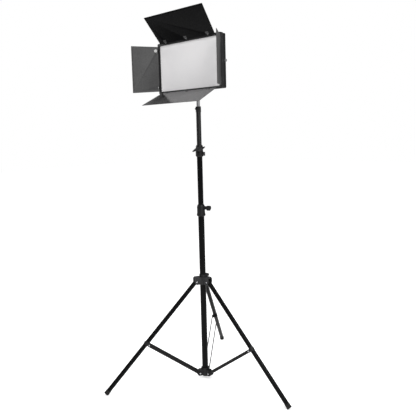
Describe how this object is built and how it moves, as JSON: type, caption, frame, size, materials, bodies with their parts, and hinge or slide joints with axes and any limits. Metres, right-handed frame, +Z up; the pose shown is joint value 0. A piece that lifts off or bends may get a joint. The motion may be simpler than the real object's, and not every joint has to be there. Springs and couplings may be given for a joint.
{
  "type": "led panel light",
  "caption": "Rectangular panel light with an opal front, hinged barn doors on all sides and a tilting mount, on a telescopic three-legged folding stand.",
  "frame": {"origin": "on the floor, on the axis of the stand column", "axes": "+Z up along the column; the lamp faces -Y at rest; +X is to the right of a viewer who faces the lamp"},
  "size_m": [0.6624, 0.7394, 1.4704],
  "materials": {
    "black_tube": "gloss black anodised",
    "black_strip": "satin black",
    "black_plastic": "moulded black",
    "rubber": "matte",
    "white_plastic": "satin",
    "rivet_steel": "bright",
    "chrome": "polished",
    "black_sheet": "satin black powder coat",
    "black_frame": "satin black",
    "opal": "opal acrylic",
    "pcb_white": "white solder mask",
    "pcb_green": "green solder mask",
    "display": "gloss",
    "gold": "plated",
    "nickel": "satin nickel"
  },
  "bodies": {
    "lower_column": {"lower_tube": "black_tube", "lower_clamp_collar": "black_plastic", "base_hub": "black_plastic", "hub_pins": "rivet_steel", "column_end_cap": "rubber"},
    "leg_slider": {"leg_collar": "black_plastic", "leg_collar_pins": "rivet_steel"},
    "leg_lock": {"leg_collar_knob": "black_plastic"},
    "lower_lock": {"lower_clamp_knob": "black_plastic"},
    "middle_column": {"middle_tube": "black_tube", "upper_clamp_collar": "black_plastic", "middle_tube_bush": "white_plastic"},
    "upper_lock": {"upper_clamp_knob": "black_plastic"},
    "top_column": {"top_tube": "black_tube", "stand_spigot": "chrome", "top_tube_bush": "white_plastic"},
    "head_mount": {"spigot_socket": "black_frame", "tilt_stem": "chrome"},
    "socket_lock": {"socket_knob": "black_plastic"},
    "panel_head": {"tilt_fork": "black_frame", "tilt_bolt": "rivet_steel", "housing": "black_frame", "front_bezel": "black_plastic", "diffuser": "opal", "spacer_frame": "white_plastic", "led_board": "pcb_white", "rear_cover": "black_plastic", "control_board": "pcb_green", "display_window": "display", "dc_jack": "black_plastic", "battery_plates": "black_plastic", "battery_contacts": "gold", "cover_screws": "rivet_steel", "barndoor_frame": "black_frame", "hinge_pins": "rivet_steel"},
    "tilt_lock": {"tilt_knob": "black_plastic"},
    "top_flap": {"top_door": "black_sheet"},
    "bottom_flap": {"bottom_door": "black_sheet"},
    "left_flap": {"left_door": "black_sheet"},
    "right_flap": {"right_door": "black_sheet"},
    "left_screw": {"left_thumb_screw": "nickel"},
    "right_screw": {"right_thumb_screw": "nickel"},
    "power_switch": {"power_rocker": "black_plastic"},
    "brightness_dial": {"brightness_knob": "black_plastic"},
    "colour_dial": {"colour_knob": "black_plastic"},
    "left_leg": {"left_leg_tube": "black_tube", "left_leg_foot": "rubber", "left_leg_saddle": "black_plastic"},
    "left_brace_pair": {"left_brace": "black_strip"},
    "right_leg": {"right_leg_tube": "black_tube", "right_leg_foot": "rubber", "right_leg_saddle": "black_plastic"},
    "right_brace_pair": {"right_brace": "black_strip"},
    "rear_leg": {"rear_leg_tube": "black_tube", "rear_leg_foot": "rubber", "rear_leg_saddle": "black_plastic"},
    "rear_brace_pair": {"rear_brace": "black_strip"}
  },
  "joints": [
    {"name": "leg_collar_slide", "type": "slide", "parent": "lower_column", "child": "leg_slider", "axis": [0, 0, 1], "range_m": [0, 0.185]},
    {"name": "left_leg_fold", "type": "hinge", "parent": "leg_slider", "child": "left_leg", "pos_m": [-0.01408, -0.02649, 0.422], "axis": [0.8829, -0.4695, 0], "range_deg": [0, 39.96]},
    {"name": "right_leg_fold", "type": "hinge", "parent": "leg_slider", "child": "right_leg", "pos_m": [0.02998, 0.00105, 0.422], "axis": [-0.0349, 0.9994, 0], "range_deg": [0, 39.96]},
    {"name": "rear_leg_fold", "type": "hinge", "parent": "leg_slider", "child": "rear_leg", "pos_m": [-0.0159, 0.02544, 0.422], "axis": [-0.848, -0.5299, 0], "range_deg": [0, 39.96]},
    {"name": "left_brace_fold", "type": "hinge", "parent": "lower_column", "child": "left_brace_pair", "pos_m": [-0.01221, -0.02296, 0.026], "axis": [-0.8829, 0.4695, 0], "range_deg": [0, 51.32]},
    {"name": "right_brace_fold", "type": "hinge", "parent": "lower_column", "child": "right_brace_pair", "pos_m": [0.02598, 0.00091, 0.026], "axis": [0.0349, -0.9994, 0], "range_deg": [0, 51.32]},
    {"name": "rear_brace_fold", "type": "hinge", "parent": "lower_column", "child": "rear_brace_pair", "pos_m": [-0.01378, 0.02205, 0.026], "axis": [0.848, 0.5299, 0], "range_deg": [0, 51.32]},
    {"name": "leg_collar_knob_turn", "type": "hinge", "parent": "leg_slider", "child": "leg_lock", "pos_m": [0.01023, 0.01925, 0.4458], "axis": [-0.8829, 0.4695, 0], "range_deg": [0, 540]},
    {"name": "lower_clamp_knob_turn", "type": "hinge", "parent": "lower_column", "child": "lower_lock", "pos_m": [0, 0, 0.726], "axis": [0.9397, 0.342, 0], "range_deg": [0, 540]},
    {"name": "middle_column_slide", "type": "slide", "parent": "lower_column", "child": "middle_column", "axis": [0, 0, 1], "range_m": [-0.19, 0.34]},
    {"name": "upper_clamp_knob_turn", "type": "hinge", "parent": "middle_column", "child": "upper_lock", "pos_m": [0, 0, 0.962], "axis": [0.6293, -0.7771, 0], "range_deg": [0, 540]},
    {"name": "top_column_slide", "type": "slide", "parent": "middle_column", "child": "top_column", "axis": [0, 0, 1], "range_m": [-0.124, 0.4]},
    {"name": "head_swivel", "type": "hinge", "parent": "top_column", "child": "head_mount", "pos_m": [0, 0, 1.115], "axis": [0, 0, 1], "continuous": true},
    {"name": "socket_knob_turn", "type": "hinge", "parent": "head_mount", "child": "socket_lock", "pos_m": [0, -0.015, 1.119], "axis": [0, -1, 0], "range_deg": [0, 540]},
    {"name": "head_tilt", "type": "hinge", "parent": "head_mount", "child": "panel_head", "pos_m": [0, 0, 1.192], "axis": [1, 0, 0], "range_deg": [-80, 45]},
    {"name": "tilt_knob_turn", "type": "hinge", "parent": "panel_head", "child": "tilt_lock", "pos_m": [-0.018, 0, 1.192], "axis": [-1, 0, 0], "range_deg": [0, 540]},
    {"name": "top_door_hinge", "type": "hinge", "parent": "panel_head", "child": "top_flap", "pos_m": [0, -0.0562, 1.3785], "axis": [1, 0, 0], "range_deg": [-63.5, 141.5]},
    {"name": "bottom_door_hinge", "type": "hinge", "parent": "panel_head", "child": "bottom_flap", "pos_m": [0, -0.0542, 1.1875], "axis": [-1, 0, 0], "range_deg": [-78.5, 116.5]},
    {"name": "left_door_hinge", "type": "hinge", "parent": "panel_head", "child": "left_flap", "pos_m": [-0.1695, -0.0522, 1.283], "axis": [0, 0, 1], "range_deg": [-75, 130]},
    {"name": "right_door_hinge", "type": "hinge", "parent": "panel_head", "child": "right_flap", "pos_m": [0.1695, -0.0522, 1.283], "axis": [0, 0, -1], "range_deg": [-80.5, 124.5]},
    {"name": "left_thumb_screw_turn", "type": "hinge", "parent": "panel_head", "child": "left_screw", "pos_m": [-0.175, -0.032, 1.283], "axis": [-1, 0, 0], "range_deg": [0, 720]},
    {"name": "right_thumb_screw_turn", "type": "hinge", "parent": "panel_head", "child": "right_screw", "pos_m": [0.175, -0.032, 1.283], "axis": [1, 0, 0], "range_deg": [0, 720]},
    {"name": "power_switch_rock", "type": "hinge", "parent": "panel_head", "child": "power_switch", "pos_m": [0, 0.011, 1.249], "axis": [-1, 0, 0], "range_deg": [0, 14]},
    {"name": "brightness_turn", "type": "hinge", "parent": "panel_head", "child": "brightness_dial", "pos_m": [-0.018, 0.018, 1.281], "axis": [0, 1, 0], "range_deg": [-135, 135]},
    {"name": "colour_turn", "type": "hinge", "parent": "panel_head", "child": "colour_dial", "pos_m": [0.018, 0.018, 1.281], "axis": [0, 1, 0], "range_deg": [-135, 135]}
  ],
  "couplings": [
    {"joint": "left_leg_fold", "follows": "leg_collar_slide", "rad_per_m": 3.7689},
    {"joint": "right_leg_fold", "follows": "leg_collar_slide", "rad_per_m": 3.7689},
    {"joint": "rear_leg_fold", "follows": "leg_collar_slide", "rad_per_m": 3.7689},
    {"joint": "left_brace_fold", "follows": "leg_collar_slide", "rad_per_m": 4.841},
    {"joint": "right_brace_fold", "follows": "leg_collar_slide", "rad_per_m": 4.841},
    {"joint": "rear_brace_fold", "follows": "leg_collar_slide", "rad_per_m": 4.841}
  ]
}
